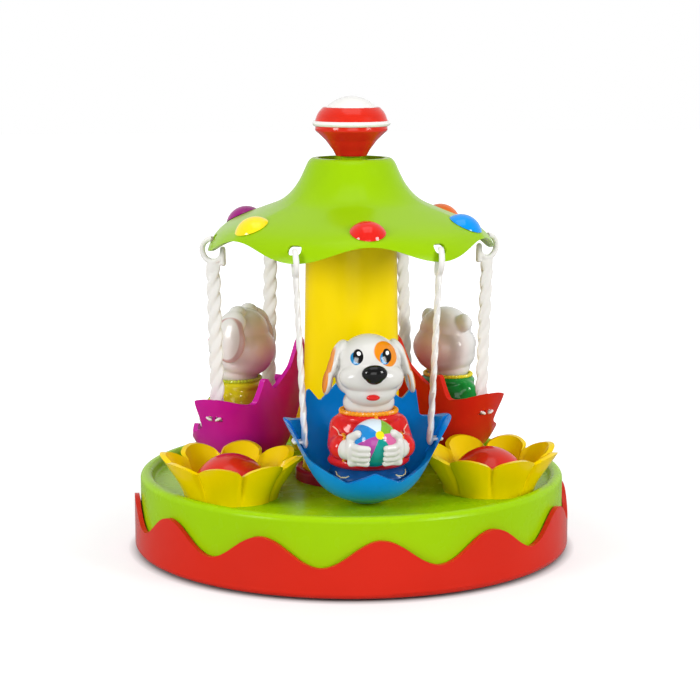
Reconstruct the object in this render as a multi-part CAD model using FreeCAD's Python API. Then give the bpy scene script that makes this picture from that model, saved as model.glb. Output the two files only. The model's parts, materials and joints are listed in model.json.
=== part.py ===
import FreeCAD, Part
import math
import os

"""A push-and-spin toy merry-go-round.

Pressing the knob on the roof drives a spiral rod through a nut, whose one-way teeth spin the
turntable in its tub.  Three tulip seats hang from the roof by moulded ropes and swing outwards.
Millimetres, Z up.  The origin is under the middle of the feet, and the blue seat faces -Y.
Azimuths are in degrees from -Y towards +X.
"""

V = FreeCAD.Vector
ORIGIN = V(0, 0, 0)
UP = V(0, 0, 1)

# ---------------------------------------------------------------- driving sizes
RUN_GAP = 0.05            # radial running clearance of a bush on its journal
FREE_GAP = 0.3            # clearance between parts that pass each other
FIT_GAP = 0.1             # clearance of a loose fit inside one assembly

# tub and feet
TUB_R = 112.0
TUB_WALL = 2.4
TUB_FLOOR = 2.5
TUB_CORNER = 3.0
WAVES = 12                # crests of the tub's top edge
WAVE_HIGH = 29.2
WAVE_LOW = 15.9
FOOT_H = 1.0
FOOT_R = 6.0
FOOT_PITCH_R = 94.0
FEET = 6
HUB_SEAT_R = 26.0         # raised middle of the tub floor, which carries the post
HUB_SEAT_Z = 7.5
COVER_T = 1.6
COVER_R = 25.5

# turntable
DECK_GAP = 0.8            # running gap inside the tub
DECK_R = TUB_R - TUB_WALL - DECK_GAP
DECK_WALL = 2.2
DECK_RIM_Z = 39.7
DECK_RIM_W = 5.8
DECK_RIM_IN = DECK_R - DECK_RIM_W
DECK_FLOOR_Z = 35.0
DECK_FLOOR_T = 2.0
DECK_SKIRT_Z = 9.0
DECK_RIBS = 12
DECK_RIB_T = 1.6
DECK_RIB_H = 8.0
DECK_RIB_START = 15.0   # keeps the ribs between the flower screws
DECK_HUB_WALL = 3.5

# post, bushes and thrust washer
POST_FLANGE_R = 18.0
POST_FLANGE_T = 2.5
JOURNAL_R = 12.0
POST_R = 9.0
POST_BORE_R = 6.6
POST_TOP_Z = 132.0
SPRING_SEAT_Z = 60.0
WASHER_T = 1.0
BUSH_T = 3.2

# column
COLUMN_R_FOOT = 25.2
COLUMN_R_TOP = 22.8
COLUMN_BORE_R = 21.0
COLUMN_TOP_Z = 186.0
COLLAR_W = 3.8
COLLAR_R = COLUMN_R_FOOT + COLLAR_W
COLLAR_H = 6.0
WEB_Z = 122.0
LEDGE_Z = 143.0
LEDGE_T = 2.0
LEDGE_BORE_R = 10.8

# one-way clutch and spiral drive
LEAD = 24.0               # height of one turn of the spiral
ROD_W = 5.8
ROD_T = 1.6
TWIST_Z = 146.0
TWIST_TOP_Z = COLUMN_TOP_Z + 4.0
ROD_FLANGE_R = 5.8
ROD_FLANGE_T = 3.0
ROD_FLANGE_TOP_Z = 100.0
ROD_NECK_R = 3.0
RATCHET_TEETH = 12
TOOTH_H = 1.2
TOOTH_IN_R = 11.0
NUT_R = 16.0
NUT_T = 4.0
NUT_GAP = 0.25            # clearance of the spiral slot round the rod
NUT_FLOAT = 0.4           # how far the teeth are apart when the knob is up
SPRING_WIRE = 0.6
SPRING_R = 5.0
SPRING_TURNS = 6

# roof
NECK_H = 14.0             # from the column's top to the mouth of the bell
ROOF_TOP_Z = COLUMN_TOP_Z + NECK_H
ROOF_WALL = 1.9
WELL_R = 17.0
WELL_WALL = 2.0
WELL_FLOOR_T = 2.5
SLEEVE_R = 5.3
SLEEVE_BORE_R = 3.5
SLEEVE_TOP_Z = ROOF_TOP_Z + 1.5
GORES = 6
BRIM_MID_Z = ROOF_TOP_Z - 42.2
BRIM_WAVE = 4.1
STUD_R = 8.75
STUD_H = 4.6
STUD_AT_R = 61.6
STUD_Z = ROOF_TOP_Z - 31.6
STUD_TILT = 25.0
STUD_GLUE = 0.05          # film of glue under a stud
STUD_COLOURS = ["red", "blue", "orange", "green", "purple", "yellow"]
BRIM_SLOPE = 24.0
ROPE_HOLE_W = 7.0
ROPE_HOLE_H = 5.2
# depth below the bell's mouth, and radius there: over the rope holes, and along the ridges to the studs
ROOF_LEVELS = [(0.0, 19.8, 19.8), (1.1, 21.3, 21.3), (3.8, 22.9, 22.9), (6.3, 24.0, 24.0), (11.4, 26.5, 26.6),
               (16.4, 30.0, 30.4), (21.5, 35.8, 37.0), (24.4, 41.8, 44.2), (27.2, 48.5, 52.0),
               (30.2, 55.8, 60.2), (33.0, 61.6, 66.2), (36.0, 66.4, 69.8), (39.0, 69.4, 71.6),
               (42.0, 71.3, 72.8), (46.0, 72.9, 73.9), (51.0, 74.4, 75.2)]

# knob
KNOB_FOOT_Z = ROOF_TOP_Z + 1.0
KNOB_BORE_R = 5.6
KNOB_SPLIT_Z = KNOB_FOOT_Z + 15.0      # lower half up to here, then the white ring
KNOB_RING_TOP_Z = KNOB_SPLIT_Z + 2.6
KNOB_RING_R = 20.0
KNOB_BAND_TOP_Z = KNOB_RING_TOP_Z + 6.8
KNOB_TOP_Z = KNOB_BAND_TOP_Z + 5.5
KNOB_CAP_R = 12.7
KNOB_WALL = 2.0

# seats: the hook eye is the axis on which a seat swings
SEAT_AZIMUTHS = {"blue": 0.0, "red": 120.0, "purple": -120.0}
HOOK_U = 61.5             # distance of the swing axis from the middle of the carousel
HOOK_Z = ROOF_TOP_Z - 46.1
ROPE_S_TOP = 35.0         # half the distance between a seat's two ropes, at the roof
ROPE_S_FOOT = 30.7        # and at the seat
HOOK_R = 5.8
ROPE_T = 3.0
ROPE_W = 7.6
ROPE_TOP_Z = HOOK_Z - 5.7
ROPE_FOOT_Z = 65.5
PRONG_R = 0.75
PRONG_L = 5.2
PRONG_Z = 67.0
PRONG_PITCH = 5.2
PRONG_TILT = 24.0
SLOT_L = 4.6
SLOT_H = 2.2
TAIL_Z = HOOK_Z - 8.1
SEAT_U = 60.0
SEAT_WALL = 2.0
SEAT_RING_POINTS = 20
# height, half width, depth to the front, depth to the back
SEAT_LEVELS = [(36.6, 8.0, 8.0, 8.0), (40.5, 17.0, 18.0, 15.0), (47.0, 24.6, 25.6, 20.4),
               (57.0, 30.4, 31.0, 24.0), (67.0, 35.4, 35.0, 26.4), (77.0, 40.6, 38.0, 28.4),
               (87.0, 44.0, 40.0, 30.0), (97.0, 46.5, 41.6, 31.2), (107.0, 48.4, 43.0, 32.0),
               (117.0, 50.0, 44.0, 32.6)]

# riders
RIDER_U = 65.0
RIDER_WALL = 1.8
HEAD_Z = 104.5
FULL_HOLLOW_U = 90.0
BELLY_U = 73.0            # the hollow of an empty-handed rider stops here
NECK_R = 7.6
NECK_TOP_Z = 96.0
SHOULDER_Z = 86.0
EAR_ROUNDING = 0.32
# radius of the skull; distance out, height, half width and radius of the muzzle
DOG_HEAD = (15.6, RIDER_U + 11.5, 97.6, 14.5, 9.4)
BUNNY_HEAD = (15.9, RIDER_U + 11.0, 98.0, 11.0, 8.0)
BEAR_HEAD = (15.8, RIDER_U + 12.0, 98.0, 10.0, 8.0)
BALL_R = 11.5
BALL_U = 83.0
BALL_Z = 70.0
BALL_WALL = 1.2
BALL_OPEN_U = 77.0
# height, half width, half depth and distance from the spin axis of the seated body
TORSO_LEVELS = [(38.0, 5.0, 4.0, 61.5), (42.0, 12.5, 10.6, 62.6), (48.0, 18.2, 14.2, 64.0),
                (56.0, 21.4, 15.6, RIDER_U), (64.0, 21.4, 15.0, RIDER_U), (72.0, 20.2, 13.8, RIDER_U),
                (79.0, 16.2, 11.6, RIDER_U), (SHOULDER_Z, 9.6, 9.2, RIDER_U)]

# flowers
FLOWER_AZIMUTHS = {"left": -60.0, "right": 60.0, "back": 180.0}
FLOWER_AT_R = 75.0
PETALS = 8
PETAL_WALL = 1.8
PETAL_TOP_Z = 56.3
PETAL_NOTCH_Z = 51.0
# height above the deck, radius at a notch, radius at the middle of a petal
FLOWER_LEVELS = [(0.0, 22.4, 23.3), (6.0, 23.6, 25.6), (12.0, 26.2, 29.6), (17.0, 29.2, 33.0),
                 (23.0, 33.0, 37.0)]
DOME_R = 19.6
DOME_TOP_Z = 56.7
DOME_WALL = 1.8

# screws
SCREW_R = 1.2
SCREW_GAP = 0.05
SCREW_HOLE_R = SCREW_R + SCREW_GAP
SCREW_HEAD_R = 2.7
SCREW_HEAD_H = 1.7
SCREW_LENGTH = 9.0
SCREWS = 3
BOSS_R = 3.2
POST_SCREW_AT = 14.6
COVER_SCREW_AT = 20.0
COLUMN_SCREW_AT = 23.1
ROOF_SCREW_AT = 13.0
FLOWER_SCREW_AT = 10.0


# ---------------------------------------------------------------- helpers
def polar(radius, azimuth, z=0.0):
    angle = math.radians(azimuth)
    return V(radius * math.sin(angle), -radius * math.cos(angle), z)


def turned(shape, azimuth):
    copy = shape.copy()
    copy.rotate(ORIGIN, UP, azimuth)
    return copy


def around(shape, count, start=0.0):
    """Copies of a shape, evenly spaced round the Z axis."""
    return [turned(shape, start + 360.0 * i / count) for i in range(count)]


def fused(shapes):
    first, rest = shapes[0], shapes[1:]
    return first.fuse(rest).removeSplitter() if rest else first


def rounded_wire(corners, place):
    """Closed wire through (a, b, radius) corners, each rounded; place turns (a, b) into a point."""
    points = [place(a, b) for a, b, radius in corners]
    count = len(corners)
    cuts = []
    for i, (a, b, radius) in enumerate(corners):
        here = points[i]
        if radius <= 0:
            cuts.append((here, None, here))
            continue
        back = (points[i - 1] - here).normalize()
        ahead = (points[(i + 1) % count] - here).normalize()
        half = back.getAngle(ahead) / 2
        reach = radius / math.tan(half)
        centre = here + (back + ahead).normalize() * (radius / math.sin(half))
        middle = centre + (here - centre).normalize() * radius
        cuts.append((here + back * reach, middle, here + ahead * reach))
    edges = []
    for i, (start, middle, end) in enumerate(cuts):
        if middle is not None:
            edges.append(Part.Arc(start, middle, end).toShape())
        following = cuts[(i + 1) % count][0]
        if end.distanceToPoint(following) > 1e-6:
            edges.append(Part.makeLine(end, following))
    return Part.Wire(edges)


def in_xz(a, b):
    return V(a, 0, b)


def revolved(corners):
    """Solid of revolution about Z from (radius, height) or (radius, height, rounding) corners."""
    full = [corner if len(corner) == 3 else corner + (0,) for corner in corners]
    return Part.Face(rounded_wire(full, in_xz)).revolve(ORIGIN, UP, 360)


def cylinder(radius, z_low, z_high, at=ORIGIN):
    return Part.makeCylinder(radius, z_high - z_low, V(at.x, at.y, z_low))


def tube(r_out, r_in, z_low, z_high, at=ORIGIN):
    return cylinder(r_out, z_low, z_high, at).cut(cylinder(r_in, z_low - 1, z_high + 1, at))


def smooth_ring(points):
    curve = Part.BSplineCurve()
    curve.interpolate(Points=points, PeriodicFlag=True)
    return Part.Wire([curve.toShape()])


def wave_cutter(centre, r_in, r_out, height_at, count, reach, start=0.0):
    """Ring between two radii, from the edge height_at(azimuth) up (or, if reach is negative, down)."""
    rings = []
    for radius in (r_in, r_out):
        points = []
        for i in range(count):
            azimuth = start + 360.0 * i / count
            points.append(centre + polar(radius, azimuth, height_at(azimuth)))
        rings.append(smooth_ring(points).Edges[0])
    surface = Part.makeRuledSurface(rings[0], rings[1])
    return surface.extrude(V(0, 0, reach))


def lobed_ring(centre, z, r_notch, r_lobe, lobes, share, count):
    """Level ring whose radius runs between r_notch and r_lobe by share(azimuth), 0 to 1."""
    points = []
    for i in range(count):
        azimuth = 360.0 * i / count
        radius = r_notch + (r_lobe - r_notch) * share(azimuth * lobes)
        points.append(centre + polar(radius, azimuth, z))
    return smooth_ring(points)


def screw(at, z_head, down=True, length=SCREW_LENGTH):
    """Pan-head screw whose head rests at z_head, pointing down or up."""
    sign = -1 if down else 1
    corners = [(0, -sign * SCREW_HEAD_H), (SCREW_HEAD_R, -sign * SCREW_HEAD_H, 0.8), (SCREW_HEAD_R, 0),
               (SCREW_R, 0), (SCREW_R, sign * (length - SCREW_R)), (0, sign * length)]
    solid = revolved(corners)
    solid.translate(V(at.x, at.y, z_head))
    return solid


def capsule(start, end, r_start, r_end):
    """Round-ended limb between two points."""
    length = start.distanceToPoint(end)
    if r_start == r_end:
        limb = Part.makeCylinder(r_start, length, start, end - start)
    else:
        limb = Part.makeCone(r_start, r_end, length, start, end - start)
    return limb.fuse([Part.makeSphere(r_start, start), Part.makeSphere(r_end, end)])


def dome_cap(radius, height, z_low, at=ORIGIN):
    """Solid cap of a sphere standing on z_low."""
    ball_r = (radius ** 2 + height ** 2) / (2 * height)
    ball = Part.makeSphere(ball_r, V(at.x, at.y, z_low + height - ball_r))
    return ball.common(cylinder(radius + 1, z_low, z_low + height + 1, at))


# ---------------------------------------------------------------- tub and base
def wave_height(azimuth):
    middle = (WAVE_HIGH + WAVE_LOW) / 2
    return middle + (WAVE_HIGH - WAVE_LOW) / 2 * math.cos(math.radians(WAVES * azimuth))


def base_tub():
    floor_top = FOOT_H + TUB_FLOOR
    head_room_z = HUB_SEAT_Z - TUB_FLOOR
    cover_seat_z = FOOT_H + 0.4 + COVER_T
    body = revolved([
        (0, head_room_z), (HUB_SEAT_R - TUB_WALL, head_room_z), (HUB_SEAT_R - TUB_WALL, cover_seat_z),
        (HUB_SEAT_R, cover_seat_z), (HUB_SEAT_R, FOOT_H), (TUB_R, FOOT_H, TUB_CORNER),
        (TUB_R, WAVE_HIGH + 4), (TUB_R - TUB_WALL, WAVE_HIGH + 4), (TUB_R - TUB_WALL, floor_top, 1.5),
        (HUB_SEAT_R + TUB_WALL, floor_top), (HUB_SEAT_R + TUB_WALL, HUB_SEAT_Z, 1.0), (0, HUB_SEAT_Z)])
    body = body.cut(wave_cutter(ORIGIN, TUB_R - 12, TUB_R + 8, wave_height, WAVES * 8, 40))
    for at in [polar(COVER_SCREW_AT, 60 + 120 * i) for i in range(SCREWS)]:
        body = body.fuse(cylinder(BOSS_R, cover_seat_z, head_room_z, at))
        body = body.cut(cylinder(SCREW_HOLE_R, cover_seat_z - 1, HUB_SEAT_Z - 1, at))
    for at in [polar(POST_SCREW_AT, 120 * i) for i in range(SCREWS)]:
        body = body.cut(cylinder(SCREW_HOLE_R, 0, HUB_SEAT_Z + 1, at))
    return body


def base_cover():
    top = FOOT_H + 0.4 + COVER_T
    plate = revolved([(0, top - COVER_T), (COVER_R, top - COVER_T, 0.5), (COVER_R, top), (0, top)])
    for at in [polar(COVER_SCREW_AT, 60 + 120 * i) for i in range(SCREWS)]:
        plate = plate.cut(cylinder(SCREW_HOLE_R, 0, top + 1, at))
        plate = plate.cut(cylinder(SCREW_HEAD_R + FIT_GAP, 0, top - COVER_T / 2, at))
    return plate


def base_feet():
    foot = revolved([(0, 0), (FOOT_R, 0, 0.4), (FOOT_R, FOOT_H), (0, FOOT_H)])
    foot.translate(polar(FOOT_PITCH_R, 0))
    return around(foot, FEET, 30)


def base_screws():
    under_floor = HUB_SEAT_Z - TUB_FLOOR
    return [screw(polar(POST_SCREW_AT, 120 * i), under_floor, down=False, length=4.5)
            for i in range(SCREWS)]


def cover_screws():
    seat = FOOT_H + 0.4 + COVER_T / 2
    solids = []
    for i in range(SCREWS):
        at = polar(COVER_SCREW_AT, 60 + 120 * i)
        shape = revolved([(0, 0), (SCREW_HEAD_R, 0), (SCREW_HEAD_R, COVER_T / 2), (SCREW_R, COVER_T / 2),
                          (SCREW_R, 4.2), (0, 4.2)])
        shape.translate(V(at.x, at.y, seat - COVER_T / 2))
        solids.append(shape)
    return solids


def centre_post():
    flange_top = HUB_SEAT_Z + POST_FLANGE_T
    body = revolved([
        (5.0, HUB_SEAT_Z), (POST_FLANGE_R, HUB_SEAT_Z), (POST_FLANGE_R, flange_top), (JOURNAL_R, flange_top),
        (JOURNAL_R, DECK_FLOOR_Z - 2), (POST_R, DECK_FLOOR_Z + 2), (POST_R, POST_TOP_Z),
        (POST_BORE_R, POST_TOP_Z), (POST_BORE_R, SPRING_SEAT_Z), (0, SPRING_SEAT_Z),
        (0, SPRING_SEAT_Z - 3), (5.0, SPRING_SEAT_Z - 3)])
    for at in [polar(POST_SCREW_AT, 120 * i) for i in range(SCREWS)]:
        body = body.cut(cylinder(SCREW_HOLE_R, HUB_SEAT_Z - 1, HUB_SEAT_Z + 2.1, at))
    return body


def thrust_washer():
    low = HUB_SEAT_Z + POST_FLANGE_T
    return tube(POST_FLANGE_R - 0.5, JOURNAL_R + FREE_GAP, low, low + WASHER_T)


def rod_guide():
    slot = Part.makeBox(ROD_W + 2 * FIT_GAP, ROD_T + 2 * FIT_GAP, 60,
                        V(-ROD_W / 2 - FIT_GAP, -ROD_T / 2 - FIT_GAP, ROD_FLANGE_TOP_Z - 5))
    plug = cylinder(POST_BORE_R, ROD_FLANGE_TOP_Z + 0.2, POST_TOP_Z)
    cap = cylinder(POST_R, POST_TOP_Z, POST_TOP_Z + 2)
    return plug.fuse(cap).removeSplitter().cut(slot)


def return_spring():
    height = ROD_FLANGE_TOP_Z - ROD_FLANGE_T - SPRING_SEAT_Z - 2 * SPRING_WIRE
    helix = Part.makeHelix(height / SPRING_TURNS, height, SPRING_R)
    profile = Part.Wire([Part.makeCircle(SPRING_WIRE, V(SPRING_R, 0, 0), V(0, 1, 0))])
    coil = Part.Wire(helix.Edges).makePipeShell([profile], True, True)
    coil.translate(V(0, 0, SPRING_SEAT_Z + SPRING_WIRE))
    return coil


# ---------------------------------------------------------------- turntable and column
def column_screw_places():
    return [polar(COLUMN_SCREW_AT, 60 + 120 * i) for i in range(SCREWS)]


def flower_screw_places(azimuth):
    middle = polar(FLOWER_AT_R, azimuth)
    return [middle + polar(FLOWER_SCREW_AT, azimuth + 120 * i) for i in range(SCREWS)]


def deck():
    hub_r = JOURNAL_R + RUN_GAP + BUSH_T
    hub_low = HUB_SEAT_Z + POST_FLANGE_T + WASHER_T
    floor_low = DECK_FLOOR_Z - DECK_FLOOR_T
    body = revolved([
        (hub_r, hub_low), (hub_r + DECK_HUB_WALL, hub_low), (hub_r + DECK_HUB_WALL, floor_low),
        (DECK_R - DECK_WALL, floor_low), (DECK_R - DECK_WALL, DECK_SKIRT_Z), (DECK_R, DECK_SKIRT_Z),
        (DECK_R, DECK_RIM_Z, 2.8), (DECK_RIM_IN, DECK_RIM_Z, 2.4), (DECK_RIM_IN - 1.2, DECK_FLOOR_Z, 1.2),
        (hub_r, DECK_FLOOR_Z)])
    rib_in, rib_out = hub_r + DECK_HUB_WALL - 0.5, DECK_R - DECK_WALL + 0.5
    rib = Part.makeBox(rib_out - rib_in, DECK_RIB_T, DECK_RIB_H,
                       V(rib_in, -DECK_RIB_T / 2, floor_low - DECK_RIB_H))
    body = body.fuse(around(rib, DECK_RIBS, DECK_RIB_START))
    holes = column_screw_places()
    for azimuth in FLOWER_AZIMUTHS.values():
        holes += flower_screw_places(azimuth)
    for at in holes:
        body = body.cut(cylinder(SCREW_HOLE_R, floor_low - 1, DECK_FLOOR_Z + 1, at))
    return body


def lower_bush():
    low = HUB_SEAT_Z + POST_FLANGE_T + WASHER_T
    return tube(JOURNAL_R + RUN_GAP + BUSH_T, JOURNAL_R + RUN_GAP, low, DECK_FLOOR_Z - DECK_FLOOR_T - 1)


def web_hub_r():
    return POST_R + RUN_GAP + BUSH_T


def column():
    """Tapered tube with a web for the upper bush, a ledge for the clutch and screw bosses at the top."""
    hub = web_hub_r()
    body = revolved([
        (COLUMN_R_FOOT, DECK_FLOOR_Z), (COLUMN_R_TOP, COLUMN_TOP_Z), (COLUMN_BORE_R, COLUMN_TOP_Z),
        (COLUMN_BORE_R, LEDGE_Z + LEDGE_T), (LEDGE_BORE_R, LEDGE_Z + LEDGE_T), (LEDGE_BORE_R, LEDGE_Z),
        (COLUMN_BORE_R, LEDGE_Z), (COLUMN_BORE_R, WEB_Z + 3), (hub + 2.2, WEB_Z + 3), (hub + 2.2, WEB_Z + 8),
        (hub, WEB_Z + 8), (hub, WEB_Z - 6), (hub + 2.2, WEB_Z - 6), (hub + 2.2, WEB_Z),
        (COLUMN_BORE_R, WEB_Z), (COLUMN_BORE_R, DECK_FLOOR_Z)])
    boss_low = COLUMN_TOP_Z - SCREW_LENGTH - 3
    bosses = []
    for i in range(SCREWS):
        azimuth = 60 + 120 * i
        bosses.append(cylinder(BOSS_R, boss_low, COLUMN_TOP_Z, polar(ROOF_SCREW_AT, azimuth)))
        web = Part.makeBox(2.0, COLUMN_BORE_R + 0.6 - ROOF_SCREW_AT - BOSS_R / 2, COLUMN_TOP_Z - boss_low,
                           V(-1.0, -COLUMN_BORE_R - 0.6, boss_low))
        bosses.append(turned(web, azimuth))
    body = body.fuse(bosses)
    for i in range(SCREWS):
        at = polar(ROOF_SCREW_AT, 60 + 120 * i)
        body = body.cut(cylinder(SCREW_HOLE_R, COLUMN_TOP_Z - SCREW_LENGTH, COLUMN_TOP_Z + 1, at))
    for at in column_screw_places():
        body = body.cut(cylinder(SCREW_HOLE_R, DECK_FLOOR_Z - 1, DECK_FLOOR_Z + SCREW_LENGTH, at))
    return body


def column_foot():
    """Trim collar round the foot of the column."""
    inner = COLUMN_R_FOOT + FIT_GAP
    return revolved([(inner, DECK_FLOOR_Z), (COLLAR_R, DECK_FLOOR_Z),
                     (COLLAR_R, DECK_FLOOR_Z + COLLAR_H, 1.8),
                     (inner, DECK_FLOOR_Z + COLLAR_H, 0.6)])


def column_screws():
    low = DECK_FLOOR_Z - DECK_FLOOR_T
    return [screw(at, low, down=False) for at in column_screw_places()]


def upper_bush():
    return tube(web_hub_r(), POST_R + RUN_GAP, WEB_Z - 6, WEB_Z + 8)


# ---------------------------------------------------------------- one-way clutch and spiral drive
def saw_teeth(z_root, height, r_in, r_out, angle_shift=0.0):
    """Ring of saw teeth: each rises along a ramp and drops at a steep flank."""
    step = 360.0 / RATCHET_TEETH
    teeth = []
    for i in range(RATCHET_TEETH):
        low, high = i * step + angle_shift, (i + 0.82) * step + angle_shift
        sections = []
        for radius in (r_in, r_out):
            sections.append(Part.makePolygon([polar(radius, low, z_root), polar(radius, high, z_root),
                                              polar(radius, high, z_root + height),
                                              polar(radius, low, z_root)]))
        teeth.append(Part.makeLoft(sections, True, True))
    return teeth


def ratchet_ring():
    low = LEDGE_Z + LEDGE_T
    ring = tube(COLUMN_BORE_R - FIT_GAP, TOOTH_IN_R, low, low + 2)
    teeth = saw_teeth(low + 2, TOOTH_H, TOOTH_IN_R + 0.3, NUT_R - 0.6)
    return ring.fuse(teeth)


def nut_low_z():
    return LEDGE_Z + LEDGE_T + 2 + 2 * TOOTH_H + NUT_FLOAT


def strip_section(z, width, thickness):
    turn = 360.0 * (z - TWIST_Z) / LEAD
    corners = [V(sx * width / 2, sy * thickness / 2, z) for sx, sy in ((-1, -1), (1, -1), (1, 1), (-1, 1))]
    wire = Part.makePolygon(corners + corners[:1])
    wire.rotate(V(0, 0, z), UP, turn)
    return wire


def twisted_strip(z_low, z_high, width, thickness):
    """Flat strip twisted one turn in each LEAD."""
    steps = max(2, int(math.ceil((z_high - z_low) / (LEAD / 24))))
    sections = [strip_section(z_low + (z_high - z_low) * i / steps, width, thickness)
                for i in range(steps + 1)]
    return Part.makeLoft(sections, True, False)


def drive_nut():
    low = nut_low_z()
    disc = cylinder(NUT_R, low, low + NUT_T)
    teeth = saw_teeth(0, TOOTH_H, TOOTH_IN_R + 0.3, NUT_R - 0.6)
    for tooth in teeth:
        tooth.rotate(ORIGIN, V(1, 0, 0), 180)
        tooth.translate(V(0, 0, low))
    nut = disc.fuse(teeth)
    slot = twisted_strip(low - 2, low + NUT_T + 2, ROD_W + 2 * NUT_GAP, ROD_T + 2 * NUT_GAP)
    return nut.cut(slot)


def clutch_cap():
    low = LEDGE_Z + LEDGE_T + 2
    roof = nut_low_z() + NUT_T + NUT_FLOAT
    return revolved([(NUT_R + 1.2, low), (COLUMN_BORE_R - FIT_GAP, low),
                     (COLUMN_BORE_R - FIT_GAP, roof + 1.8),
                     (ROD_NECK_R + 1.2, roof + 1.8), (ROD_NECK_R + 1.2, roof), (NUT_R + 1.2, roof)])


def drive_rod():
    flange = cylinder(ROD_FLANGE_R, ROD_FLANGE_TOP_Z - ROD_FLANGE_T, ROD_FLANGE_TOP_Z)
    flat = Part.makeBox(ROD_W, ROD_T, TWIST_Z - ROD_FLANGE_TOP_Z,
                        V(-ROD_W / 2, -ROD_T / 2, ROD_FLANGE_TOP_Z))
    twist = twisted_strip(TWIST_Z, TWIST_TOP_Z, ROD_W, ROD_T)
    neck = cylinder(ROD_NECK_R, TWIST_TOP_Z, KNOB_SPLIT_Z)
    return fused([flange, flat, twist, neck])


# ---------------------------------------------------------------- roof
def ridge_share(angle):
    """0 over a rope hole, 1 on the ridge that runs down to a stud."""
    return 1.0 - abs(math.sin(math.radians(angle / 2)))


def roof_solid(inset, drop):
    rings = []
    for depth, r_hole, r_stud in ROOF_LEVELS:
        rings.append(lobed_ring(ORIGIN, ROOF_TOP_Z - depth - drop, r_hole - inset, r_stud - inset,
                                GORES, ridge_share, 72))
    return Part.makeLoft(rings, True, False)


def brim_height(azimuth):
    return BRIM_MID_Z + BRIM_WAVE * math.cos(math.radians(GORES * azimuth))


def rope_hole_places():
    """Azimuth and radius of the six rope holes, from the seats' swing axis and rope spacing."""
    radius = math.hypot(HOOK_U - 1.5, ROPE_S_TOP)
    side = math.degrees(math.atan2(ROPE_S_TOP, HOOK_U - 1.5))
    places = []
    for azimuth in SEAT_AZIMUTHS.values():
        for sign in (-1, 1):
            places.append((azimuth + sign * side, radius))
    return places


def canopy():
    """Bell-shaped roof with a bulkhead on the column's top, and a well that the knob sinks into."""
    floor_top = COLUMN_TOP_Z + WELL_FLOOR_T
    inner = roof_solid(ROOF_WALL, 0.6).cut(cylinder(60, COLUMN_TOP_Z, ROOF_TOP_Z + 5))
    body = roof_solid(0.0, 0.0).cut(inner)
    body = body.cut(wave_cutter(ORIGIN, 60, 78, brim_height, GORES * 12, -30, 13.0))
    bell = [(r_hole - ROOF_WALL, ROOF_TOP_Z - depth) for depth, r_hole, _ in ROOF_LEVELS
            if ROOF_WALL < depth <= ROOF_TOP_Z - floor_top]
    well_out = WELL_R + WELL_WALL
    pocket = [(well_out, floor_top), (bell[-1][0] + 0.2, floor_top)] + bell[-2::-1] + [(well_out, bell[0][1])]
    body = body.cut([revolved(pocket), tube(WELL_R, SLEEVE_R, floor_top, ROOF_TOP_Z + 1),
                     cylinder(SLEEVE_BORE_R, COLUMN_TOP_Z - 10, ROOF_TOP_Z + 1)])
    lip_r = COLUMN_R_TOP + FIT_GAP
    body = body.fuse([tube(SLEEVE_R, SLEEVE_BORE_R, ROOF_TOP_Z - 0.01, SLEEVE_TOP_Z),
                      tube(lip_r + 1.8, lip_r, COLUMN_TOP_Z - 3, COLUMN_TOP_Z)])
    cuts = [cylinder(SCREW_HOLE_R, COLUMN_TOP_Z - 1, floor_top + 1, polar(ROOF_SCREW_AT, 60 + 120 * i))
            for i in range(SCREWS)]
    cuts += [rope_hole(azimuth, radius) for azimuth, radius in rope_hole_places()]
    return body.cut(cuts)


def rope_hole(azimuth, radius):
    """Rounded slot through the brim, square to its slope."""
    half_w, half_h = ROPE_HOLE_W / 2, ROPE_HOLE_H / 2
    corners = [(-half_w, -half_h, 2.0), (half_w, -half_h, 2.0), (half_w, half_h, 2.0), (-half_w, half_h, 2.0)]
    face = Part.Face(rounded_wire(corners, lambda a, b: V(a, 0, b)))
    slot = face.extrude(V(0, -16, 0))
    slot.translate(V(0, 8, 0))
    slot.rotate(ORIGIN, V(1, 0, 0), -BRIM_SLOPE)
    slot.translate(V(0, -radius, HOOK_Z + HOOK_R))
    return turned(slot, azimuth)


def canopy_screws():
    return [screw(polar(ROOF_SCREW_AT, 60 + 120 * i), COLUMN_TOP_Z + WELL_FLOOR_T) for i in range(SCREWS)]


def stud(azimuth, roof):
    """Glossy dome seated on a ridge of the roof, square to its slope."""
    cap = dome_cap(STUD_R, STUD_H, 0)
    cap.rotate(ORIGIN, V(1, 0, 0), STUD_TILT)
    cap.translate(V(0, -STUD_AT_R, STUD_Z))
    return turned(cap, azimuth).cut(roof)


# ---------------------------------------------------------------- knob
def knob_lower():
    return revolved([
        (KNOB_BORE_R, KNOB_FOOT_Z), (7.8, KNOB_FOOT_Z), (9.3, KNOB_FOOT_Z + 2.8, 4),
        (13.0, KNOB_FOOT_Z + 7.8, 8), (18.4, KNOB_FOOT_Z + 12.9, 1.5), (18.2, KNOB_SPLIT_Z),
        (16.0, KNOB_SPLIT_Z), (12.6, KNOB_FOOT_Z + 10.6),
        (KNOB_BORE_R + KNOB_WALL, KNOB_FOOT_Z + 5.2), (KNOB_BORE_R + KNOB_WALL, KNOB_SPLIT_Z),
        (ROD_NECK_R, KNOB_SPLIT_Z), (ROD_NECK_R, KNOB_SPLIT_Z - 2), (KNOB_BORE_R, KNOB_SPLIT_Z - 2)])


def knob_ring():
    return revolved([(14.0, KNOB_SPLIT_Z), (19.0, KNOB_SPLIT_Z, 0.8), (KNOB_RING_R, KNOB_SPLIT_Z + 1.3, 0.8),
                     (19.0, KNOB_RING_TOP_Z, 0.8), (14.0, KNOB_RING_TOP_Z)])


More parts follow.
